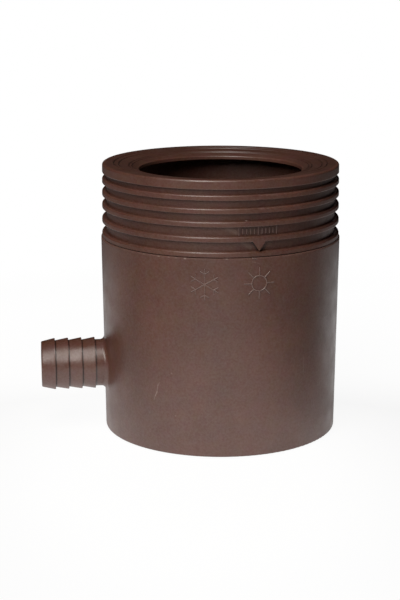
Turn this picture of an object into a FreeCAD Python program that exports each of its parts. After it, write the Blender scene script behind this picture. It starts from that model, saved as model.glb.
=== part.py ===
import FreeCAD, Part
import math
import os
import re
import Sketcher

# A rainwater diverter for a round downpipe: a lower housing with a barbed hose spigot, and a ribbed
# collar that turns on it between the sun mark (water goes to the hose) and the snowflake mark (closed).
# Frame: the foot of the housing stands on Z = 0, +Z is up along the pipe, the spigot points along -X.
# Lengths are in millimetres and bearings in degrees.

SIZES = (
    # The housing's drafted outer wall
    ("body_radius", 59.2, "outer radius of the housing at its rim"),
    ("body_draft", 1.2, "how much narrower the housing is at its foot"),
    ("body_height", 97.0, "foot to rim"),
    ("body_wall", 2.5, "wall of the housing"),
    ("foot_rounding", 0.8, "outer edge of the foot"),
    ("rim_rounding", 0.4, "outer edge of the rim"),
    # The catch trough and the standpipe that it runs round
    ("socket_depth", 20.2, "how far the lower pipe goes in, up to the trough's underside"),
    ("floor_thickness", 2.3, "floor of the trough"),
    ("standpipe_radius", 36.0, "outer radius of the overflow standpipe"),
    ("standpipe_wall", 2.2, "wall of the standpipe"),
    ("standpipe_rise", 39.5, "standpipe above the trough floor"),
    ("trough_rounding", 1.5, "corner between the trough floor and the standpipe"),
    ("standpipe_rounding", 0.8, "edges of the standpipe's mouth"),
    # The hose spigot
    ("outlet_sill", 1.0, "trough floor to the lowest point of the spigot's bore"),
    ("spigot_bore", 9.2, "radius of the spigot's bore"),
    ("neck_length", 4.24, "rim's radius to the step of the nearest barb"),
    ("neck_wall", 2.48, "wall of the spigot's plain neck"),
    ("tip_wall", 2.15, "wall at the spigot's tip"),
    ("barb_root_wall", 2.5, "wall at the foot of each barb's step"),
    ("barb_rise", 1.1, "height of a barb over its root"),
    ("barb_pitch", 6.63, "crest to crest"),
    ("barb_count", 4, "number of barbs"),
    ("crest_width", 0.6, "flat land on each barb"),
    ("lead_length", 6.87, "tip to the first crest"),
    ("tip_rounding", 0.7, "outer edge of the tip"),
    ("neck_rounding", 2.2, "fillet where the neck leaves the wall"),
    # How the collar sits in the housing and turns
    ("seam_gap", 0.3, "lowest rib over the housing's rim"),
    ("sleeve_clearance", 0.3, "sleeve to the housing's inner wall"),
    ("sleeve_wall", 1.8, "wall of the sleeve, before its draft"),
    ("sleeve_floor_gap", 0.4, "sleeve's lower edge over the trough floor"),
    ("arrow_bearing", 10.5, "turn of the collar from -Y with its arrow on the sun mark"),
    ("turn_range", 25.0, "turn from the sun mark to the snowflake mark"),
    ("gate_margin", 0.4, "gate in the sleeve, wider than the bore all round"),
    ("lug_spread", 8.0, "width of the stop lug, as an angle"),
    ("lug_height", 6.0, "stop lug over the trough floor"),
    ("lug_gap", 0.5, "air between the lug and its slot, above and inside"),
    ("stop_play", 0.5, "free turn left at each end of the slot, as an angle"),
    # The snap bead that holds the collar down
    ("bead_drop", 8.0, "rim to the middle of the bead"),
    ("bead_height", 0.7, "bead over the sleeve"),
    ("bead_width", 1.6, "bead at its root"),
    ("bead_gap", 0.4, "air round the bead in its channel"),
    ("lead_in", 0.6, "chamfer inside the rim, over which the bead snaps"),
    # The collar's outside
    ("collar_inset", 0.5, "lowest rib inside the housing's rim"),
    ("collar_draft", 0.4, "flange narrower than the lowest rib"),
    ("groove_floor_inset", 2.3, "groove floors inside the lowest rib's crest"),
    ("rib_thickness", 2.5, "each of the five ribs"),
    ("arrow_groove", 4.6, "groove over the lowest rib, which holds the arrow"),
    ("label_groove", 4.6, "groove over the second rib"),
    ("narrow_groove", 3.65, "the next two grooves"),
    ("flange_groove", 2.65, "groove under the flange"),
    ("flange_thickness", 4.4, "flange at the top"),
    ("crest_top_rounding", 0.8, "upper edge of each rib"),
    ("crest_bottom_rounding", 0.3, "lower edge of each rib"),
    ("flange_rounding", 1.0, "upper edge of the flange"),
    ("arrow_width", 6.0, "raised arrow along its top"),
    ("arrow_tip_gap", 0.2, "arrow's point over the lowest rib"),
    # The dished web at the top, cut out further along its lines for wider pipes
    ("web_width", 13.15, "inner wall to the hole, which takes an 80 mm pipe"),
    ("land_width", 5.0, "flat rim of the flange"),
    ("lip_width", 3.05, "steeper lip round the hole"),
    ("dish_drop", 1.65, "fall of the dish from the flat rim to the lip"),
    ("lip_drop", 1.55, "fall of the lip to the hole"),
    ("web_thickness", 2.0, "web between the wall and the lip"),
    ("lip_thickness", 1.5, "lip at the hole"),
    ("lip_rounding", 3.5, "bend between the dish and the lip"),
    ("hole_rounding", 0.4, "upper edge of the hole"),
    ("web_rounding", 1.0, "corner under the web"),
    ("first_cut_step", 3.25, "hole to the first cut line, for an 87 mm pipe"),
    ("second_cut_step", 4.75, "hole to the second cut line, for a 90 mm pipe"),
    ("outer_cut_step", 0.9, "inner wall to the outermost cut line, for a 105 mm pipe"),
    ("third_cut_step", 3.4, "inner wall to the third cut line, for a 100 mm pipe"),
    ("cut_line_width", 0.8, "each V-shaped cut line"),
    ("cut_line_depth", 0.5, "each V-shaped cut line"),
)

OVERRUN = 1.0  # how far a cut runs past the wall that it goes through
SUNK = 0.5  # how far an added form starts inside the wall that it grows from
SAME_PLACE = 0.01  # edges nearer than this to a computed place are the ones meant
EDGE_SAMPLES = 9  # points along an edge that are compared with its computed place

doc = FreeCAD.newDocument("rainwater_diverter")
sheet = doc.addObject("Spreadsheet::Sheet", "sizes")
for row, (alias, number, meaning) in enumerate(SIZES, start=1):
    sheet.set(f"A{row}", meaning)
    sheet.set(f"B{row}", str(number))
    sheet.setAlias(f"B{row}", alias)
doc.recompute()
ALIASES = {alias for alias, number, meaning in SIZES}


def linked(text):
    """The formula with each named size pointing at its cell."""
    return re.sub(r"[a-z_]+", lambda word: f"sizes.{word[0]}" if word[0] in ALIASES else word[0], text)


def worth(text):
    """The number that a formula gives now."""
    return float(sheet.evalExpression(linked(text)))


# Levels and radii that several features share, as formulas of the named sizes
FLOOR_TOP = "(socket_depth + floor_thickness)"
SPIGOT_LEVEL = f"({FLOOR_TOP} + outlet_sill + spigot_bore)"
SOCKET_RADIUS = "(body_radius - body_draft - body_wall)"
STANDPIPE_BORE = "(standpipe_radius - standpipe_wall)"
SLEEVE_BORE = f"({SOCKET_RADIUS} - sleeve_clearance - sleeve_wall)"
SLEEVE_FOOT = f"({FLOOR_TOP} + sleeve_floor_gap)"
PIPE_HOLE = f"({SLEEVE_BORE} - web_width)"
BEAD_LEVEL = "(body_height - bead_drop)"
SEAM = "(body_height + seam_gap)"
LOW_CREST = "(body_radius - collar_inset)"
FLANGE_RADIUS = f"({LOW_CREST} - collar_draft)"
GROOVE_FLOOR = f"({LOW_CREST} - groove_floor_inset)"


def housing_outside(level):
    """Outer radius of the drafted housing at a level."""
    return f"(body_radius - body_draft * (1 - {level} / body_height))"


def housing_inside(level):
    """Inner radius of the drafted housing at a level."""
    return f"({housing_outside(level)} - body_wall)"


def sleeve_outside(level):
    """Outer radius of the collar's sleeve at a level."""
    return f"({housing_inside(level)} - sleeve_clearance)"


def origin_plane(body, role):
    """One of a body's own base planes."""
    return next(item for item in body.Origin.OriginFeatures if item.Role == role)


def new_sketch(body, name, role, bearing=None, standoff=None):
    """A sketch on a base plane, turned about the vertical by a bearing or moved out by a standoff."""
    sketch = body.newObject("Sketcher::SketchObject", name)
    sketch.AttachmentSupport = (origin_plane(body, role), "")
    sketch.MapMode = "FlatFace"
    if bearing is not None:
        vertical = FreeCAD.Vector(0, 1, 0)
        sketch.AttachmentOffset = FreeCAD.Placement(FreeCAD.Vector(), FreeCAD.Rotation(vertical, worth(bearing)))
        sketch.setExpression("AttachmentOffset.Rotation.Angle", linked(bearing))
    if standoff is not None:
        sketch.setExpression("AttachmentOffset.Base.z", linked(standoff))
    return sketch


def pin_point(sketch, item, end, across=None, up=None):
    """Hold one end of a sketch line or arc at its distances from the origin."""
    for kind, text in (("DistanceX", across), ("DistanceY", up)):
        if text is not None:
            place = sketch.addConstraint(Sketcher.Constraint(kind, -1, 1, item, end, worth(text)))
            sketch.setExpression(f"Constraints[{place}]", linked(text))


def draw_outline(sketch, corners):
    """A closed outline of straight sides; each corner is a pair of formulas."""
    places = [FreeCAD.Vector(worth(across), worth(up), 0) for across, up in corners]
    for start, end in zip(places, places[1:] + places[:1]):
        sketch.addGeometry(Part.LineSegment(start, end))
    for item, (across, up) in enumerate(corners):
        sketch.addConstraint(Sketcher.Constraint("Coincident", item, 2, (item + 1) % len(corners), 1))
        pin_point(sketch, item, 1, across, up)
    return sketch


def rectangle(left, right, low, high):
    """Corners of an upright rectangle."""
    return [(left, low), (right, low), (right, high), (left, high)]


def turned(body, kind, name, sketch, axis="V_Axis", spread=None):
    """A form turned from a sketch: a full ring, or a stretch of it centred on the sketch's plane."""
    feature = body.newObject(kind, name)
    feature.Profile = sketch
    feature.ReferenceAxis = (sketch, [axis])
    if spread is None:
        feature.Angle = 360
    else:
        feature.Midplane = True
        feature.setExpression("Angle", linked(spread))
    doc.recompute()
    body.Tip = feature
    return feature


def ring_edges(shape, radius, level):
    """Names of the level circular edges of this radius at this level."""
    radius, level = worth(radius), worth(level)
    names = []
    for number, edge in enumerate(shape.Edges, start=1):
        if isinstance(edge.Curve, Part.Circle):
            near_radius = abs(edge.Curve.Radius - radius) < SAME_PLACE
            near_level = abs(edge.Curve.Center.z - level) < SAME_PLACE
            if near_radius and near_level:
                names.append(f"Edge{number}")
    return names


def rounded(body, name, edges, radius):
    """A fillet of a named size on the last feature's edges."""
    last = body.Tip
    fillet = body.newObject("PartDesign::Fillet", name)
    fillet.Base = (last, edges)
    fillet.setExpression("Radius", linked(radius))
    doc.recompute()
    body.Tip = fillet
    return fillet


def ring_rounded(body, name, places, radius):
    """A fillet on circular edges, each given by its radius and level."""
    edges = [edge for place in places for edge in ring_edges(body.Tip.Shape, *place)]
    return rounded(body, name, edges, radius)


def spigot_edges(shape, radius, nearest, furthest):
    """Names of the edges at this distance from the spigot's axis, between two reaches along it."""
    level, radius = worth(SPIGOT_LEVEL), worth(radius)
    nearest, furthest = worth(nearest), worth(furthest)
    names = []
    for number, edge in enumerate(shape.Edges, start=1):
        points = edge.discretize(Number=EDGE_SAMPLES)
        same_distance = all(abs(math.hypot(point.y, point.z - level) - radius) < SAME_PLACE for point in points)
        within = all(nearest < -point.x < furthest for point in points)
        if same_distance and within:
            names.append(f"Edge{number}")
    return names


def add_axis(sketch, near, far, level):
    """A construction line to turn a section about, along the spigot; it is the sketch's first one."""
    item = sketch.GeometryCount
    start = FreeCAD.Vector(worth(near), worth(level), 0)
    end = FreeCAD.Vector(worth(far), worth(level), 0)
    sketch.addGeometry(Part.LineSegment(start, end), True)
    pin_point(sketch, item, 1, near, level)
    pin_point(sketch, item, 2, far, level)
    return "Axis0"


# Lower housing

housing = doc.addObject("PartDesign::Body", "housing")
housing.Label = "housing"

# The section holds the outer wall, the socket for the lower pipe, the trough floor and the standpipe.
standpipe_top = f"({FLOOR_TOP} + standpipe_rise)"
housing_section = [
    (housing_outside("0"), "0"),
    (housing_outside("body_height"), "body_height"),
    (housing_inside("body_height"), "body_height"),
    (housing_inside(FLOOR_TOP), FLOOR_TOP),
    ("standpipe_radius", FLOOR_TOP),
    ("standpipe_radius", standpipe_top),
    (STANDPIPE_BORE, standpipe_top),
    (STANDPIPE_BORE, "socket_depth"),
    (SOCKET_RADIUS, "socket_depth"),
    (SOCKET_RADIUS, "0"),
]
section = draw_outline(new_sketch(housing, "housing_section", "XZ_Plane"), housing_section)
turned(housing, "PartDesign::Revolution", "housing_shell", section)
ring_rounded(housing, "foot_edge", [(housing_outside("0"), "0")], "foot_rounding")
ring_rounded(housing, "rim_edge", [("body_radius", "body_height")], "rim_rounding")
ring_rounded(housing, "trough_corner", [("standpipe_radius", FLOOR_TOP)], "trough_rounding")
mouth = [("standpipe_radius", standpipe_top), (STANDPIPE_BORE, standpipe_top)]
ring_rounded(housing, "standpipe_mouth", mouth, "standpipe_rounding")

# The spigot grows out of the wall. Each barb rises towards the housing and ends in a step,
# so that a hose slides on easily and grips when it is pulled.
spigot_root = f"({housing_inside(SPIGOT_LEVEL)} + {SUNK})"
neck_radius = "(spigot_bore + neck_wall)"
root_radius = "(spigot_bore + barb_root_wall)"
crest_radius = f"({root_radius} + barb_rise)"
tip_radius = "(spigot_bore + tip_wall)"
barbs = int(worth("barb_count"))
nearest_crest = "(body_radius + neck_length)"
spigot_reach = f"({nearest_crest} + {barbs - 1} * barb_pitch + lead_length)"
spigot_section = [
    (f"-{spigot_root}", SPIGOT_LEVEL),
    (f"-{spigot_root}", f"{SPIGOT_LEVEL} + {neck_radius}"),
]
for barb in range(barbs):
    crest = f"({nearest_crest} + {barb} * barb_pitch)"
    step_foot = neck_radius if barb == 0 else root_radius
    spigot_section += [
        (f"-{crest}", f"{SPIGOT_LEVEL} + {step_foot}"),
        (f"-{crest}", f"{SPIGOT_LEVEL} + {crest_radius}"),
        (f"-({crest} + crest_width)", f"{SPIGOT_LEVEL} + {crest_radius}"),
    ]
spigot_section += [
    (f"-{spigot_reach}", f"{SPIGOT_LEVEL} + {tip_radius}"),
    (f"-{spigot_reach}", SPIGOT_LEVEL),
]
section = draw_outline(new_sketch(housing, "spigot_section", "XZ_Plane"), spigot_section)
axis = add_axis(section, f"-{spigot_root}", f"-{spigot_reach}", SPIGOT_LEVEL)
turned(housing, "PartDesign::Revolution", "spigot", section, axis)
neck_edge = spigot_edges(housing.Tip.Shape, neck_radius, spigot_root, f"{nearest_crest} - {OVERRUN}")
rounded(housing, "neck_root", neck_edge, "neck_rounding")
tip_edge = spigot_edges(housing.Tip.Shape, tip_radius, f"{spigot_reach} - {SUNK}", f"{spigot_reach} + {SUNK}")
rounded(housing, "spigot_tip", tip_edge, "tip_rounding")

# The bore opens into the trough just above its floor.
bore_outline = rectangle(
    f"-({spigot_reach} + {OVERRUN})", f"-{SLEEVE_BORE}", SPIGOT_LEVEL, f"{SPIGOT_LEVEL} + spigot_bore"
)
section = draw_outline(new_sketch(housing, "bore_section", "XZ_Plane"), bore_outline)
axis = add_axis(section, f"-{SLEEVE_BORE}", f"-{spigot_reach}", SPIGOT_LEVEL)
turned(housing, "PartDesign::Groove", "spigot_bore", section, axis)

# A lug behind the sleeve stops the collar at both marks.
lug_outline = rectangle(
    SLEEVE_BORE,
    f"{housing_inside(FLOOR_TOP)} + {SUNK}",
    f"{FLOOR_TOP} - {SUNK}",
    f"{FLOOR_TOP} + lug_height",
)
section = draw_outline(new_sketch(housing, "lug_section", "YZ_Plane"), lug_outline)
turned(housing, "PartDesign::Revolution", "stop_lug", section, spread="lug_spread")

# The collar's bead snaps into a channel under the rim.
bead_crest = f"({sleeve_outside(BEAD_LEVEL)} + bead_height)"
channel_outline = rectangle(
    f"{housing_inside(BEAD_LEVEL)} - {OVERRUN}",
    f"{bead_crest} + bead_gap",
    f"{BEAD_LEVEL} - bead_width / 2 - bead_gap",
    f"{BEAD_LEVEL} + bead_width / 2 + bead_gap",
)
section = draw_outline(new_sketch(housing, "channel_section", "XZ_Plane"), channel_outline)
turned(housing, "PartDesign::Groove", "snap_channel", section)
last = housing.Tip
lead_in = housing.newObject("PartDesign::Chamfer", "rim_lead_in")
lead_in.Base = (last, ring_edges(last.Shape, housing_inside("body_height"), "body_height"))
lead_in.setExpression("Size", linked("lead_in"))
doc.recompute()

# Collar

collar = doc.addObject("PartDesign::Body", "collar")
collar.Label = "collar"
upright = FreeCAD.Vector(0, 0, 1)
collar.Placement = FreeCAD.Placement(FreeCAD.Vector(), FreeCAD.Rotation(upright, worth("arrow_bearing")))
collar.setExpression("Placement.Rotation.Angle", linked("arrow_bearing"))

# Levels of the ribs and of the grooves over them, from the seam up to the flange
groove_heights = ("arrow_groove", "label_groove", "narrow_groove", "narrow_groove", "flange_groove")
rib_feet = []
grooves = []
level = SEAM
for groove_height in groove_heights:
    rib_feet.append(level)
    rib_top = f"({level} + rib_thickness)"
    level = f"({rib_top} + {groove_height})"
    grooves.append((rib_top, level))
flange_foot = level
top = f"({flange_foot} + flange_thickness)"
land_inside = f"({FLANGE_RADIUS} - land_width)"
lip_start = f"({PIPE_HOLE} + lip_width)"


def crest(level):
    """Radius of the rib crests and the flange, which narrow a little upwards."""
    return f"({LOW_CREST} - collar_draft * ({level} - {SEAM}) / ({top} - {SEAM}))"


def dish(radius):
    """Level of the dished web's upper face at a radius."""
    return f"({top} - dish_drop * ({land_inside} - {radius}) / ({land_inside} - {lip_start}))"


# The section holds the outside before its grooves are cut, the dished web and the sleeve below the seam.
collar_section = [
    (LOW_CREST, SEAM),
    (FLANGE_RADIUS, top),
    (land_inside, top),
    (lip_start, f"{top} - dish_drop"),
    (PIPE_HOLE, f"{top} - dish_drop - lip_drop"),
    (PIPE_HOLE, f"{top} - dish_drop - lip_drop - lip_thickness"),
    (lip_start, f"{top} - dish_drop - web_thickness"),
    (SLEEVE_BORE, f"{top} - web_thickness"),
    (SLEEVE_BORE, SLEEVE_FOOT),
    (sleeve_outside(SLEEVE_FOOT), SLEEVE_FOOT),
    (sleeve_outside(SEAM), SEAM),
]
section = draw_outline(new_sketch(collar, "collar_section", "XZ_Plane"), collar_section)
turned(collar, "PartDesign::Revolution", "collar_shell", section)
ring_rounded(collar, "lip_bend", [(lip_start, f"{top} - dish_drop")], "lip_rounding")
ring_rounded(collar, "hole_edge", [(PIPE_HOLE, f"{top} - dish_drop - lip_drop")], "hole_rounding")
ring_rounded(collar, "web_corner", [(SLEEVE_BORE, f"{top} - web_thickness")], "web_rounding")

# Grooves leave five ribs under the flange.
for number, (groove_low, groove_high) in enumerate(grooves, start=1):
    outline = rectangle(GROOVE_FLOOR, f"{LOW_CREST} + {OVERRUN}", groove_low, groove_high)
    section = draw_outline(new_sketch(collar, f"groove_section_{number}", "XZ_Plane"), outline)
    turned(collar, "PartDesign::Groove", f"groove_{number}", section)
upper_edges = [(crest(groove_low), groove_low) for groove_low, groove_high in grooves]
lower_edges = [(crest(level), level) for level in rib_feet + [flange_foot]]
ring_rounded(collar, "crest_tops", upper_edges, "crest_top_rounding")
ring_rounded(collar, "crest_bottoms", lower_edges, "crest_bottom_rounding")
ring_rounded(collar, "flange_edge", [(FLANGE_RADIUS, top)], "flange_rounding")

# Cut lines in the web show where to saw the hole out for wider pipes.
cut_radii = (
    f"({PIPE_HOLE} + first_cut_step)",
    f"({PIPE_HOLE} + second_cut_step)",
    f"({SLEEVE_BORE} - third_cut_step)",
    f"({SLEEVE_BORE} - outer_cut_step)",
)
for number, radius in enumerate(cut_radii, start=1):
    outline = [
        (radius, f"{dish(radius)} - cut_line_depth"),
        (f"{radius} + cut_line_width", f"{dish(radius)} + cut_line_depth"),
        (f"{radius} - cut_line_width", f"{dish(radius)} + cut_line_depth"),
    ]
    section = draw_outline(new_sketch(collar, f"cut_line_section_{number}", "XZ_Plane"), outline)
    turned(collar, "PartDesign::Groove", f"cut_line_{number}", section)

# A raised arrow fills the lowest groove and stands flush with the ribs.
arrow_low, arrow_high = grooves[0]
arrow_outline = [
    ("0", f"{arrow_low} + arrow_tip_gap"),
    ("arrow_width / 2", arrow_high),
    ("arrow_width / 2", f"{arrow_high} + {SUNK}"),
    ("-arrow_width / 2", f"{arrow_high} + {SUNK}"),
    ("-arrow_width / 2", arrow_high),
]
sketch = new_sketch(collar, "arrow_outline", "XZ_Plane", standoff=f"{GROOVE_FLOOR} - {OVERRUN}")
draw_outline(sketch, arrow_outline)
arrow = collar.newObject("PartDesign::Pad", "arrow")
arrow.Profile = sketch
arrow.setExpression("Length", linked(f"groove_floor_inset + 2 * {OVERRUN}"))
doc.recompute()
face_outline = [
    (crest(arrow_low), arrow_low),
    (f"{LOW_CREST} + 2 * {OVERRUN}", arrow_low),
    (f"{LOW_CREST} + 2 * {OVERRUN}", f"{arrow_high} + 2 * {SUNK}"),
    (crest(f"({arrow_high} + 2 * {SUNK})"), f"{arrow_high} + 2 * {SUNK}"),
]
section = draw_outline(new_sketch(collar, "arrow_face_section", "XZ_Plane"), face_outline)
turned(collar, "PartDesign::Groove", "arrow_face", section)

# The bead on the sleeve
bead_outline = [
    (f"{sleeve_outside(BEAD_LEVEL)} - {SUNK}", f"{BEAD_LEVEL} - bead_width / 2"),
    (sleeve_outside(BEAD_LEVEL), f"{BEAD_LEVEL} - bead_width / 2"),
    (bead_crest, f"{BEAD_LEVEL} - bead_width / 4"),
    (bead_crest, f"{BEAD_LEVEL} + bead_width / 4"),
    (sleeve_outside(BEAD_LEVEL), f"{BEAD_LEVEL} + bead_width / 2"),
    (f"{sleeve_outside(BEAD_LEVEL)} - {SUNK}", f"{BEAD_LEVEL} + bead_width / 2"),
]
section = draw_outline(new_sketch(collar, "bead_section", "XZ_Plane"), bead_outline)
turned(collar, "PartDesign::Revolution", "snap_bead", section)

# An arched gate in the sleeve faces the spigot while the arrow is on the sun mark.
gate_radius = "(spigot_bore + gate_margin)"
gate_foot = f"({SLEEVE_FOOT} - {OVERRUN})"
sketch = new_sketch(collar, "gate_outline", "XZ_Plane", bearing="90 - arrow_bearing")
left, right = -worth(gate_radius), worth(gate_radius)
spring, foot = worth(SPIGOT_LEVEL), worth(gate_foot)
crown = Part.Circle(FreeCAD.Vector(0, spring, 0), FreeCAD.Vector(0, 0, 1), right)
sketch.addGeometry(Part.LineSegment(FreeCAD.Vector(left, foot, 0), FreeCAD.Vector(right, foot, 0)))
sketch.addGeometry(Part.LineSegment(FreeCAD.Vector(right, foot, 0), FreeCAD.Vector(right, spring, 0)))
sketch.addGeometry(Part.ArcOfCircle(crown, 0, math.pi))
sketch.addGeometry(Part.LineSegment(FreeCAD.Vector(left, spring, 0), FreeCAD.Vector(left, foot, 0)))
for item in range(sketch.GeometryCount):
    sketch.addConstraint(Sketcher.Constraint("Coincident", item, 2, (item + 1) % sketch.GeometryCount, 1))
pin_point(sketch, 0, 1, f"-{gate_radius}", gate_foot)
pin_point(sketch, 1, 1, gate_radius, gate_foot)
pin_point(sketch, 2, 1, gate_radius, SPIGOT_LEVEL)
pin_point(sketch, 2, 2, None, SPIGOT_LEVEL)
pin_point(sketch, 2, 3, "0", SPIGOT_LEVEL)
gate = collar.newObject("PartDesign::Pocket", "gate")
gate.Profile = sketch
gate.Type = "ThroughAll"
doc.recompute()

# A slot in the sleeve's lower edge runs over the stop lug from one mark to the other.
slot_outline = rectangle(
    f"{SLEEVE_BORE} - {OVERRUN}",
    f"{sleeve_outside(SLEEVE_FOOT)} + {OVERRUN}",
    f"{SLEEVE_FOOT} - {OVERRUN}",
    f"{FLOOR_TOP} + lug_height + lug_gap",
)
slot_bearing = "90 + turn_range / 2 - arrow_bearing"
section = draw_outline(new_sketch(collar, "slot_section", "XZ_Plane", bearing=slot_bearing), slot_outline)
turned(collar, "PartDesign::Groove", "stop_slot", section, spread="turn_range + lug_spread + 2 * stop_play")

# Checks and export
doc.recompute()
for item in doc.Objects:
    if "Invalid" in item.State or "Error" in item.State:
        raise RuntimeError(f"{item.Name} failed: {item.State}")
for body in (housing, collar):
    if body.Shape.isNull() or not body.Shape.isValid() or len(body.Shape.Solids) != 1:
        raise RuntimeError(f"{body.Label} isn't one valid solid")
os.makedirs("parts", exist_ok=True)
for body in (housing, collar):
    body.Shape.exportStep(f"parts/{body.Label}.step")
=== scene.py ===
import math

import bpy
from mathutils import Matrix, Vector


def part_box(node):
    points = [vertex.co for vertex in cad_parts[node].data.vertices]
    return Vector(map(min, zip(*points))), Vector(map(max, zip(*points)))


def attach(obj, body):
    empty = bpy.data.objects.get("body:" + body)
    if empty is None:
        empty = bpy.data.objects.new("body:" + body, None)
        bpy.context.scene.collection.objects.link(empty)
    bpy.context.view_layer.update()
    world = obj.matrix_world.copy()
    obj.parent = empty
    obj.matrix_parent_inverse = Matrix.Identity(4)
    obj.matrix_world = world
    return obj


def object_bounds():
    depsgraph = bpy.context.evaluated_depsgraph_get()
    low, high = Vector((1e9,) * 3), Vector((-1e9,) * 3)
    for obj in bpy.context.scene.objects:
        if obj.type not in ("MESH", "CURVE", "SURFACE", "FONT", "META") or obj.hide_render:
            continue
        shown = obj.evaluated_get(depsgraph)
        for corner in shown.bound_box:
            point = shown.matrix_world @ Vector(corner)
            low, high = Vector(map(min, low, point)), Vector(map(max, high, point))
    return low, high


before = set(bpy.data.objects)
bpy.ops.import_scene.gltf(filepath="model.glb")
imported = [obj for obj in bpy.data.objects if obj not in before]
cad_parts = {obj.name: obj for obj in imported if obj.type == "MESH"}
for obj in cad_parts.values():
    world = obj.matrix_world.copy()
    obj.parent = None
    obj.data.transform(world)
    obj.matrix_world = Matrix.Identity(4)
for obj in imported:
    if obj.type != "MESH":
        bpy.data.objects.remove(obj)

cad_low, cad_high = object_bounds()

# Housing: the lower shell with its catch trough, standpipe and barbed hose spigot, moulded in one shot
# of brown plastic. The mould was spark-eroded, so the skin is satin with a very fine grain, and the
# colour is clouded a little where the melt flowed. It has a few light scuffs from handling.
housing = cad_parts["housing"]
housing_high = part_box("housing")[1]
foot_radius = 58.0
rim_radius = 1000.0 * housing_high.x
rim_level = 1000.0 * housing_high.z


def on_wall(radius, bearing, level):
    """A point on the round wall; the bearing is counted from -Y towards +X, the lengths are millimetres."""
    turn = math.radians(bearing)
    return Vector((radius * math.sin(turn), -radius * math.cos(turn), level)) / 1000.0


def housing_radius(level):
    """Outer radius of the drafted housing at a level, in millimetres."""
    return foot_radius + (rim_radius - foot_radius) * level / rim_level


def on_housing(bearing, level):
    """A point on the housing's outer wall, in metres."""
    return on_wall(housing_radius(level), bearing, level)


def one_step(tree, kind, operation, values):
    """One Math or Vector Math node on sockets and plain values."""
    step = tree.nodes.new(kind)
    step.operation = operation
    for socket, value in zip(step.inputs, values):
        if isinstance(value, bpy.types.NodeSocket):
            tree.links.new(value, socket)
        else:
            socket.default_value = value
    return step


def worked_out(tree, operation, *values):
    """The number that a sum on numbers gives."""
    return one_step(tree, "ShaderNodeMath", operation, values).outputs["Value"]


def vector_out(tree, operation, *values):
    """The vector or colour that a sum on vectors gives."""
    return one_step(tree, "ShaderNodeVectorMath", operation, values).outputs["Vector"]


def measured(tree, operation, *values):
    """The number that a measure of vectors gives."""
    return one_step(tree, "ShaderNodeVectorMath", operation, values).outputs["Value"]


def ranged(tree, value, low, high, low_worth, high_worth, easing="LINEAR"):
    """A value brought from one span to another and held at its ends."""
    span = tree.nodes.new("ShaderNodeMapRange")
    span.interpolation_type = easing
    span.inputs["From Min"].default_value = low
    span.inputs["From Max"].default_value = high
    span.inputs["To Min"].default_value = low_worth
    span.inputs["To Max"].default_value = high_worth
    tree.links.new(value, span.inputs["Value"])
    return span.outputs["Result"]


def fade_outwards(tree, distance, near, far, near_worth, far_worth):
    """A value that eases from one worth to another between two distances."""
    return ranged(tree, distance, near, far, near_worth, far_worth, "SMOOTHSTEP")


def noise(tree, place, scale, detail, roughness):
    """A noise that is fixed to the piece."""
    texture = tree.nodes.new("ShaderNodeTexNoise")
    texture.inputs["Scale"].default_value = scale
    texture.inputs["Detail"].default_value = detail
    texture.inputs["Roughness"].default_value = roughness
    tree.links.new(place, texture.inputs["Vector"])
    return texture


def from_line(tree, place, start, end):
    """Distance of the point from the straight line between start and end."""
    length = end - start
    from_start = vector_out(tree, "SUBTRACT", place, start)
    along = tree.nodes.new("ShaderNodeClamp")
    share = measured(tree, "DOT_PRODUCT", from_start, length / max(length.length_squared, 1e-9))
    tree.links.new(share, along.inputs["Value"])
    nearest = vector_out(tree, "MULTIPLY", length, along.outputs["Result"])
    return measured(tree, "DISTANCE", from_start, nearest)


def cover_skin(tree, skin, cover, tint):
    """The skin's colour under a tint, which covers it as far as the cover says."""
    covered = tree.nodes.new("ShaderNodeMix")
    covered.data_type = "RGBA"
    tree.links.new(cover, covered.inputs["Factor"])
    tree.links.new(skin, covered.inputs[6])
    covered.inputs[7].default_value = tint
    return covered.outputs[2]


# The pale tint serves real scuffs and painted light; the dark tint serves painted shade.
pale_wear_and_light = (0.46, 0.36, 0.31, 1.0)
shaded = (0.012, 0.007, 0.006, 1.0)


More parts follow.
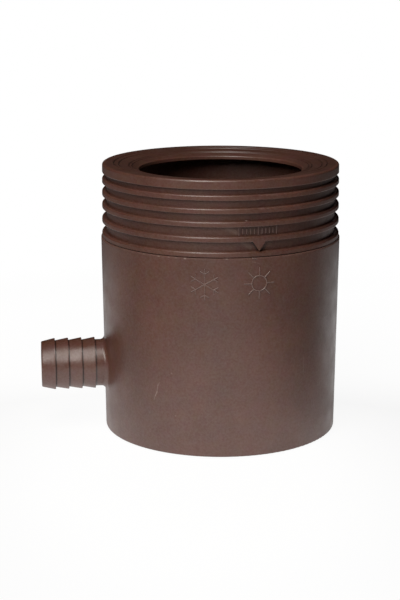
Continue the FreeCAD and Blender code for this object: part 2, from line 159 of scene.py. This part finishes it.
def moulded_brown(name, cloud_seed, paler, roughness, scuffs_and_painted_light):
    """Brown satin plastic: clouded colour, a fine eroded grain, uneven gloss, scuffs and painted light.

    Raised lines are made a little paler, a painted highlight along them. Each scuff, and each patch of
    painted light and shade, is its two ends, its half-width in millimetres, its tint and how far it covers
    the plastic.
    """
    material = bpy.data.materials.new(name)
    material.use_nodes = True
    tree = material.node_tree
    shader = tree.nodes["Principled BSDF"]
    shader.inputs["IOR"].default_value = 1.48
    shader.inputs["Specular IOR Level"].default_value = 0.95
    place = tree.nodes.new("ShaderNodeTexCoord").outputs["Object"]

    clouds = noise(tree, place, 34.0, 4.0, 0.5)
    clouds.noise_dimensions = "4D"
    clouds.inputs["W"].default_value = cloud_seed
    melt = tree.nodes.new("ShaderNodeValToRGB")
    melt.color_ramp.elements[0].position = 0.35
    melt.color_ramp.elements[0].color = (0.116 + paler, 0.050 + paler, 0.0355 + paler, 1.0)
    melt.color_ramp.elements[1].position = 0.68
    melt.color_ramp.elements[1].color = (0.146 + paler, 0.061 + paler, 0.043 + paler, 1.0)
    tree.links.new(clouds.outputs["Fac"], melt.inputs["Fac"])

    pigment = noise(tree, place, 170.0, 4.0, 0.7).outputs["Color"]
    uneven = vector_out(tree, "MULTIPLY_ADD", pigment, (0.036, 0.026, 0.024), (-0.018, -0.013, -0.012))
    tinted = vector_out(tree, "ADD", melt.outputs["Color"], uneven)
    speckle = noise(tree, place, 950.0, 8.0, 0.62).outputs["Fac"]
    skin = vector_out(tree, "ADD", tinted, ranged(tree, speckle, 0.22, 0.78, -0.028, 0.028))
    for start, end, half_width, tint, cover in scuffs_and_painted_light:
        apart = from_line(tree, place, start, end)
        mark_share = fade_outwards(tree, apart, 0.0, half_width / 1000.0, cover, 0.0)
        skin = cover_skin(tree, skin, mark_share, tint)
    tree.links.new(skin, shader.inputs["Base Color"])

    smears = noise(tree, place, 120.0, 3.0, 0.5).outputs["Fac"]
    gloss = ranged(tree, smears, 0.3, 0.7, roughness, roughness + 0.13)
    tree.links.new(gloss, shader.inputs["Roughness"])

    grain = noise(tree, place, 1100.0, 4.0, 0.75)
    relief = tree.nodes.new("ShaderNodeBump")
    relief.inputs["Strength"].default_value = 0.5
    relief.inputs["Distance"].default_value = 0.00005
    tree.links.new(grain.outputs["Fac"], relief.inputs["Height"])
    tree.links.new(relief.outputs["Normal"], shader.inputs["Normal"])
    return material


# The scuffs are, in this order, the bent scratch, three specks on the wall, a faint line on the right,
# the specks along the rim and two pale lines under the arrow
housing_plastic = moulded_brown(
    "housing_plastic",
    cloud_seed=3.0,
    paler=0.0,
    roughness=0.32,
    scuffs_and_painted_light=[
        (on_housing(-36.9, 35.1), on_housing(-37.8, 33.6), 0.32, pale_wear_and_light, 0.20),
        (on_housing(-37.8, 33.6), on_housing(-38.4, 30.1), 0.38, pale_wear_and_light, 0.30),
        (on_housing(-38.4, 30.1), on_housing(-39.3, 28.2), 0.42, pale_wear_and_light, 0.42),
        (on_housing(-39.3, 28.2), on_housing(-40.1, 26.0), 0.36, pale_wear_and_light, 0.22),
        (on_housing(-37.8, 33.5), on_housing(-37.8, 33.7), 0.40, pale_wear_and_light, 0.30),
        (on_housing(-30.6, 40.3), on_housing(-30.4, 40.3), 0.60, pale_wear_and_light, 0.22),
        (on_housing(-28.7, 19.4), on_housing(-28.7, 19.5), 0.45, pale_wear_and_light, 0.35),
        (on_housing(35.5, 46.9), on_housing(35.9, 36.8), 0.22, pale_wear_and_light, 0.18),
        (on_housing(-45.2, 96.6), on_housing(-44.2, 96.6), 0.40, pale_wear_and_light, 0.18),
        (on_housing(-36.8, 96.6), on_housing(-36.2, 96.6), 0.45, pale_wear_and_light, 0.45),
        (on_housing(-31.5, 96.6), on_housing(-31.1, 96.6), 0.40, pale_wear_and_light, 0.20),
        (on_housing(-28.0, 96.6), on_housing(-27.6, 96.6), 0.40, pale_wear_and_light, 0.24),
        (on_housing(-23.7, 96.6), on_housing(-23.2, 96.6), 0.55, pale_wear_and_light, 0.60),
        (on_housing(-4.8, 97.0), on_housing(-4.4, 97.0), 0.60, pale_wear_and_light, 0.55),
        (on_housing(7.0, 95.2), on_housing(8.6, 94.9), 0.30, pale_wear_and_light, 0.22),
        (on_housing(9.4, 94.6), on_housing(10.2, 94.3), 0.28, pale_wear_and_light, 0.18),
    ],
)
housing.material_slots[0].material = housing_plastic


def place_on(tree):
    """X, Y and Z of the point on the piece, in metres."""
    place = tree.nodes.new("ShaderNodeTexCoord")
    parted = tree.nodes.new("ShaderNodeSeparateXYZ")
    tree.links.new(place.outputs["Object"], parted.inputs["Vector"])
    return parted.outputs["X"], parted.outputs["Y"], parted.outputs["Z"]


def across_axis(tree, one, other):
    """Distance from an axis, worked out from the two offsets across it."""
    squares = [worked_out(tree, "MULTIPLY", offset, offset) for offset in (one, other)]
    return worked_out(tree, "SQRT", worked_out(tree, "ADD", *squares))


def apart_from(tree, value, middle):
    """How far a value is from a middle, on either side."""
    return worked_out(tree, "ABSOLUTE", worked_out(tree, "SUBTRACT", value, middle))


def add_painted_shade(material, shade_cover):
    """Darken the plastic where shade is painted."""
    tree = material.node_tree
    base = tree.nodes["Principled BSDF"].inputs["Base Color"]
    tree.links.new(cover_skin(tree, base.links[0].from_socket, shade_cover, shaded), base)


# Painted shade in the corner behind each barb of the spigot, on the outside alone
barb_corner = -0.06324
barb_pitch = 0.00663
spigot_level = 0.0327
spigot_bore = 0.0092
tree = housing_plastic.node_tree
x, y, z = place_on(tree)
wrapped = worked_out(tree, "WRAP", x, barb_corner + barb_pitch / 2, barb_corner - barb_pitch / 2)
shade_cover = fade_outwards(tree, apart_from(tree, wrapped, barb_corner), 0.00020, 0.00055, 0.60, 0.0)
from_axis = across_axis(tree, y, worked_out(tree, "SUBTRACT", z, spigot_level))
for kept in (
    worked_out(tree, "LESS_THAN", x, barb_corner + 0.0012),
    worked_out(tree, "GREATER_THAN", x, barb_corner - 3.4 * barb_pitch),
    worked_out(tree, "GREATER_THAN", from_axis, spigot_bore + 0.0013),
):
    shade_cover = worked_out(tree, "MULTIPLY", shade_cover, kept)
add_painted_shade(housing_plastic, shade_cover)

# The rim's outer edge is duller than the wall, worn by handling
gloss = tree.nodes["Principled BSDF"].inputs["Roughness"]
wear = fade_outwards(tree, z, 0.0962, 0.0966, 0.0, 0.38)
tree.links.new(worked_out(tree, "ADD", gloss.links[0].from_socket, wear), gloss)

# Sun mark: the sign for rain turned to the hose, a ring with eight rays. Its fine rounded lines were cut
# into the mould, so they stand a quarter of a millimetre proud of the wall. They are in the housing's plastic
# made a little paler, a painted highlight along the raised lines.
relief_plastic = moulded_brown("relief_plastic", cloud_seed=3.0, paler=0.056, roughness=0.27, scuffs_and_painted_light=[])
mark_half_width = 0.00029
sun_bearing = 10.5
sun_level = 84.9
sun_radius = 0.00365
ray_reach = 0.00725
wall_lean = math.atan2(rim_radius - foot_radius, rim_level)


def rounded_line(start, end, half_width):
    """A straight line of the relief from start to end, with round ends, drawn in the XZ plane."""
    direction = end - start
    bpy.ops.mesh.primitive_cylinder_add(
        vertices=20,
        radius=half_width,
        depth=direction.length,
        location=0.5 * (start + end),
        rotation=direction.to_track_quat("Z", "Y").to_euler(),
    )
    line = [bpy.context.object]
    for tip in (start, end):
        bpy.ops.mesh.primitive_uv_sphere_add(segments=20, ring_count=12, radius=half_width, location=tip)
        line.append(bpy.context.object)
    return line


def wrapped_on_wall(name, strokes, radius, lean, bearing, level, material):
    """Melt the strokes into one relief, bend it to the round wall and turn it to its place.

    The radius and the level are millimetres, as on the wall, and the lean is the wall's draft.
    """
    bpy.ops.object.select_all(action="DESELECT")
    for stroke in strokes:
        stroke.select_set(True)
    bpy.context.view_layer.objects.active = strokes[0]
    bpy.ops.object.join()
    relief = bpy.context.object
    relief.name = name
    bpy.ops.object.transform_apply(location=True, rotation=True, scale=True)
    melt = relief.modifiers.new("melt", "REMESH")
    melt.mode = "VOXEL"
    melt.voxel_size = 0.00008
    bpy.ops.object.modifier_apply(modifier=melt.name)
    soften = relief.modifiers.new("soften", "SMOOTH")
    soften.iterations = 2
    bpy.ops.object.modifier_apply(modifier=soften.name)
    wrap = relief.modifiers.new("wrap", "SIMPLE_DEFORM")
    wrap.deform_method = "BEND"
    wrap.deform_axis = "Z"
    wrap.angle = 1000.0 * relief.dimensions.x / radius
    bpy.ops.object.modifier_apply(modifier=wrap.name)
    relief.rotation_euler = (lean, 0.0, 0.0)
    relief.location = on_wall(radius, 0.0, level)
    bpy.ops.object.transform_apply(location=True, rotation=True, scale=True)
    relief.rotation_euler = (0.0, 0.0, math.radians(bearing))
    bpy.ops.object.transform_apply(location=True, rotation=True, scale=True)
    relief.data.materials.clear()
    relief.data.materials.append(material)
    bpy.ops.object.shade_smooth()
    return relief


def outwards(angle):
    """A direction on a mark, at an angle from its right-hand side."""
    turn = math.radians(angle)
    return Vector((math.cos(turn), 0.0, math.sin(turn)))


def spoke(angle, near, far):
    """A line pointing away from the middle of a mark."""
    return rounded_line(near * outwards(angle), far * outwards(angle), mark_half_width)


bpy.ops.object.select_all(action="DESELECT")
bpy.ops.mesh.primitive_torus_add(
    major_segments=96,
    minor_segments=20,
    major_radius=sun_radius,
    minor_radius=mark_half_width,
    rotation=(math.radians(90.0), 0.0, 0.0),
)
sun_strokes = [bpy.context.object]
for ray in range(8):
    sun_strokes += spoke(45.0 * ray, sun_radius, ray_reach)
sun_wall = housing_radius(sun_level)
sun_mark = wrapped_on_wall(
    "sun_mark", sun_strokes, sun_wall, wall_lean, sun_bearing, sun_level, relief_plastic
)
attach(sun_mark, "housing")

# Snowflake mark: the sign for the outlet shut in winter, six arms with a small fork on each. It stands
# beside the sun, cut into the same mould in the same rounded lines.
flake_bearing = -14.5
flake_level = 84.7
arm_reach = 0.0072
fork_place = 0.0050
tine_reach = 0.00215
tine_half_width = 0.00026
flake_strokes = []
for arm in range(6):
    arm_angle = 90.0 + 60.0 * arm
    flake_strokes += spoke(arm_angle, 0.0, arm_reach)
    fork = outwards(arm_angle) * fork_place
    for side in (-60.0, 60.0):
        tine = outwards(arm_angle + side) * tine_reach
        flake_strokes += rounded_line(fork, fork + tine, tine_half_width)
flake_wall = housing_radius(flake_level)
snowflake_mark = wrapped_on_wall(
    "snowflake_mark", flake_strokes, flake_wall, wall_lean, flake_bearing, flake_level, relief_plastic
)
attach(snowflake_mark, "housing")

# Rim burr: a small curl of flash that was left on the housing's rim when it was moulded, just beside the
# sun's place under the arrow. It is in the same paler plastic as the marks.
burr_bearing = 7.85
burr_level = 0.09683
burr_tilt = 6.0
bpy.ops.object.select_all(action="DESELECT")
bpy.ops.mesh.primitive_cube_add(size=1.0, location=(0.0, -housing_high.x, burr_level))
rim_burr = bpy.context.object
rim_burr.name = "rim_burr"
rim_burr.dimensions = (0.0022, 0.0005, 0.0007)
bpy.ops.object.transform_apply(location=False, rotation=True, scale=True)
bpy.ops.object.mode_set(mode="EDIT")
bpy.ops.mesh.select_all(action="SELECT")
bpy.ops.mesh.bevel(offset=0.00012, segments=3, affect="EDGES")
bpy.ops.object.mode_set(mode="OBJECT")
rim_burr.rotation_euler = (0.0, math.radians(burr_tilt), 0.0)
bpy.ops.object.transform_apply(location=True, rotation=True, scale=True)
rim_burr.rotation_euler = (0.0, 0.0, math.radians(burr_bearing))
bpy.ops.object.transform_apply(location=True, rotation=True, scale=True)
rim_burr.data.materials.append(relief_plastic)
bpy.ops.object.shade_smooth()
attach(rim_burr, "housing")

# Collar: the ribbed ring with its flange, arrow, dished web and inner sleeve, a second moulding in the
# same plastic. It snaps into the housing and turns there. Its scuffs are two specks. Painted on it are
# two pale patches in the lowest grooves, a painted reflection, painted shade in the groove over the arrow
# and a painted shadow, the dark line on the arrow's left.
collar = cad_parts["collar"]
groove_radius = 56.4


def in_groove(bearing, level):
    """A point on the floor of the collar's grooves, in metres."""
    return on_wall(groove_radius, bearing, level)


collar_plastic = moulded_brown(
    "collar_plastic",
    cloud_seed=8.0,
    paler=0.0,
    roughness=0.33,
    scuffs_and_painted_light=[
        (on_wall(58.5, 22.8, 126.2), on_wall(58.5, 23.2, 126.2), 0.50, pale_wear_and_light, 0.70),
        (on_wall(56.45, 4.6, 114.1), on_wall(56.45, 4.9, 114.1), 0.52, pale_wear_and_light, 0.95),
        # Painted reflection: two pale patches in the lowest grooves
        (in_groove(-4.5, 110.9), in_groove(0.0, 108.6), 1.9, pale_wear_and_light, 0.17),
        (in_groove(3.0, 103.6), in_groove(6.5, 101.8), 1.7, pale_wear_and_light, 0.15),
        # Painted shade: the groove over the arrow, darkened round the ticks
        (in_groove(2.5, 109.1), in_groove(18.9, 109.1), 3.4, shaded, 0.32),
        # Painted shadow: the dark line along the arrow's left side
        (in_groove(7.4, 104.3), in_groove(10.1, 100.3), 0.55, shaded, 0.95),
    ],
)
collar.material_slots[0].material = collar_plastic

# Painted shade: the dished web's upper side is darkened a little and its four cut lines more. The level
# is one inside the web, so the underside is left as it is.
inside_web = 0.1305
darkened_edge = 0.0572
cut_lines = (0.0435, 0.0450, 0.0500, 0.0525)
tree = collar_plastic.node_tree
x, y, z = place_on(tree)
from_middle = across_axis(tree, x, y)
shade_cover = fade_outwards(tree, from_middle, darkened_edge - 0.0012, darkened_edge, 0.24, 0.0)
for cut_line in cut_lines:
    line = fade_outwards(tree, apart_from(tree, from_middle, cut_line), 0.00015, 0.00050, 0.62, 0.0)
    shade_cover = worked_out(tree, "MAXIMUM", shade_cover, line)
on_top = worked_out(tree, "GREATER_THAN", z, inside_web)
add_painted_shade(collar_plastic, worked_out(tree, "MULTIPLY", shade_cover, on_top))

# Scale: a plain row of short raised ticks in the groove over the arrow, moulded with the collar in its
# plastic. The first, the middle and the last tick are longer.
scale_bearing = 10.7
scale_level = 109.1
tick_count = 11
tick_pitch = 0.00185
tick_half_width = 0.00032
scale_ticks = []
for tick in range(tick_count):
    reach = 0.0018 if tick % 5 == 0 else 0.0012
    across = (tick - tick_count // 2) * tick_pitch
    scale_ticks += rounded_line(Vector((across, 0.0, -reach)), Vector((across, 0.0, reach)), tick_half_width)
# The ticks are in the marks' paler plastic, a painted highlight along them.
scale_row = wrapped_on_wall(
    "scale_row", scale_ticks, groove_radius, 0.0, scale_bearing, scale_level, relief_plastic
)
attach(scale_row, "collar")

# Parting line: the hair-thin ridge where the two halves of the collar's mould met. It is the collar's own
# plastic and is seen on the flange alone.
ridge_radius = 58.32
ridge_bearing = 1.57
ridge_level = 130.8
ridge_half_width = 0.00012
ridge = rounded_line(Vector((0.0, 0.0, -0.0016)), Vector((0.0, 0.0, 0.0013)), ridge_half_width)
parting_line = wrapped_on_wall(
    "parting_line", ridge, ridge_radius, 0.0, ridge_bearing, ridge_level, collar_plastic
)
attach(parting_line, "collar")

# Floor: a plain white table that glows a little from below, as a light table does. The glow is strongest
# in front of the object and behind it, fades outwards, and there is none under the object itself. The
# camera sees the table brightened to the white backdrop, with a faint shadow.
white_light = (1.0, 1.0, 1.0, 1.0)
bpy.ops.object.select_all(action="DESELECT")
bpy.ops.mesh.primitive_plane_add(size=8.0, location=(0.0, 0.0, 0.0))
floor = bpy.context.object
floor.name = "floor"
table_top = bpy.data.materials.new("table_top")
table_top.use_nodes = True
tree = table_top.node_tree
tree.nodes.remove(tree.nodes["Principled BSDF"])


def table_distance(tree, x, y, across):
    """Distance on the table from a spot; across above one shortens it along X, for an oval patch."""
    place = tree.nodes.new("ShaderNodeTexCoord")
    from_spot = tree.nodes.new("ShaderNodeMapping")
    from_spot.vector_type = "TEXTURE"
    from_spot.inputs["Location"].default_value = (x, y, 0.0)
    from_spot.inputs["Scale"].default_value = (across, 1.0, 1.0)
    tree.links.new(place.outputs["Object"], from_spot.inputs["Vector"])
    return measured(tree, "LENGTH", from_spot.outputs["Vector"])


front_patch = fade_outwards(tree, table_distance(tree, -0.025, -0.08, 0.6), 0.08, 0.36, 0.80, 0.04)
back_patch = fade_outwards(tree, table_distance(tree, 0.04, 0.17, 2.1), 0.09, 0.25, 0.80, 0.0)
from_foot = table_distance(tree, 0.0, 0.0, 1.0)
beside_foot = fade_outwards(tree, from_foot, 0.052, 0.060, 0.0, 1.0)
brightening = fade_outwards(tree, from_foot, 0.05, 0.40, 0.80, 1.0)
paper = tree.nodes.new("ShaderNodeBsdfDiffuse")
paper.inputs["Color"].default_value = (0.30, 0.30, 0.30, 1.0)
glow = tree.nodes.new("ShaderNodeEmission")
glow.inputs["Color"].default_value = white_light
brighter = worked_out(tree, "MAXIMUM", front_patch, back_patch)
tree.links.new(worked_out(tree, "MULTIPLY", brighter, beside_foot), glow.inputs["Strength"])
lit_paper = tree.nodes.new("ShaderNodeAddShader")
tree.links.new(paper.outputs["BSDF"], lit_paper.inputs[0])
tree.links.new(glow.outputs["Emission"], lit_paper.inputs[1])
white = tree.nodes.new("ShaderNodeEmission")
white.inputs["Color"].default_value = white_light
seen = tree.nodes.new("ShaderNodeLightPath")
mixed = tree.nodes.new("ShaderNodeMixShader")
white_share = worked_out(tree, "MULTIPLY", seen.outputs["Is Camera Ray"], brightening)
tree.links.new(white_share, mixed.inputs["Fac"])
tree.links.new(lit_paper.outputs["Shader"], mixed.inputs[1])
tree.links.new(white.outputs["Emission"], mixed.inputs[2])
tree.links.new(mixed.outputs["Shader"], tree.nodes["Material Output"].inputs["Surface"])
floor.data.materials.append(table_top)

# Room: the dark studio round the table, painted a near black that gives back little light. The camera
# doesn't see it.
bpy.ops.mesh.primitive_cube_add(size=6.0, location=(0.0, 0.0, 2.9))
dark_room = bpy.context.object
dark_room.name = "dark_room"
wall_paint = bpy.data.materials.new("wall_paint")
wall_paint.use_nodes = True
wall_paint.node_tree.nodes["Principled BSDF"].inputs["Base Color"].default_value = (0.05, 0.05, 0.05, 1.0)
dark_room.data.materials.append(wall_paint)
dark_room.visible_camera = False

# Light: one tall soft box, high in front and to the left, with slightly warm light. The world gives no
# light of its own and only shows the white backdrop to the camera and in reflections.
object_middle = Vector((0.0, 0.0, 0.5 * (cad_low.z + cad_high.z)))


def soft_box(name, bearing, elevation, distance, wide, high, watts):
    """A rectangular lamp that faces the object; the bearing is counted from -Y towards +X."""
    turn = math.radians(bearing)
    rise = math.radians(elevation)
    away = Vector((math.sin(turn) * math.cos(rise), -math.cos(turn) * math.cos(rise), math.sin(rise)))
    bpy.ops.object.light_add(type="AREA", location=object_middle + distance * away)
    lamp = bpy.context.object
    lamp.name = name
    lamp.data.shape = "RECTANGLE"
    lamp.data.size = wide
    lamp.data.size_y = high
    lamp.data.energy = watts
    lamp.rotation_euler = away.to_track_quat("Z", "Y").to_euler()
    return lamp


key_box = soft_box("key_box", bearing=-29.0, elevation=49.5, distance=1.0, wide=0.48, high=1.10, watts=8.75)
key_box.data.color = (1.0, 0.95, 0.90)


def sees_backdrop(tree):
    """One for the rays that see the white backdrop: camera, gloss and glass."""
    seen = tree.nodes.new("ShaderNodeLightPath")
    mirrored = worked_out(tree, "MAXIMUM", seen.outputs["Is Glossy Ray"], seen.outputs["Is Transmission Ray"])
    return worked_out(tree, "MAXIMUM", seen.outputs["Is Camera Ray"], mirrored)


room = bpy.data.worlds.new("room")
bpy.context.scene.world = room
room.use_nodes = True
tree = room.node_tree
backdrop = tree.nodes["Background"]
backdrop.inputs["Color"].default_value = white_light
dim = tree.nodes.new("ShaderNodeBackground")
dim.inputs["Color"].default_value = (0.0, 0.0, 0.0, 1.0)
mixed = tree.nodes.new("ShaderNodeMixShader")
tree.links.new(sees_backdrop(tree), mixed.inputs["Fac"])
tree.links.new(dim.outputs["Background"], mixed.inputs[1])
tree.links.new(backdrop.outputs["Background"], mixed.inputs[2])
tree.links.new(mixed.outputs["Shader"], tree.nodes["World Output"].inputs["Surface"])
bpy.context.scene.view_settings.view_transform = "Standard"

# Camera: a short telephoto a little above the rim, 7.5 degrees round from the front towards the spigot.
# It looks down on the object and a little past its middle, as in the photo.
camera_bearing = math.radians(7.5)
camera_distance = 0.752
camera_height = 0.2453
camera_dip = 13.617
camera_aim = -6.73
bpy.ops.object.camera_add(
    location=(
        -camera_distance * math.sin(camera_bearing),
        -camera_distance * math.cos(camera_bearing),
        camera_height,
    ),
    rotation=(math.radians(90.0 - camera_dip), 0.0, math.radians(camera_aim)),
)
camera = bpy.context.object
camera.data.sensor_width = 36.0
camera.data.lens = 92.20
bpy.context.scene.camera = camera
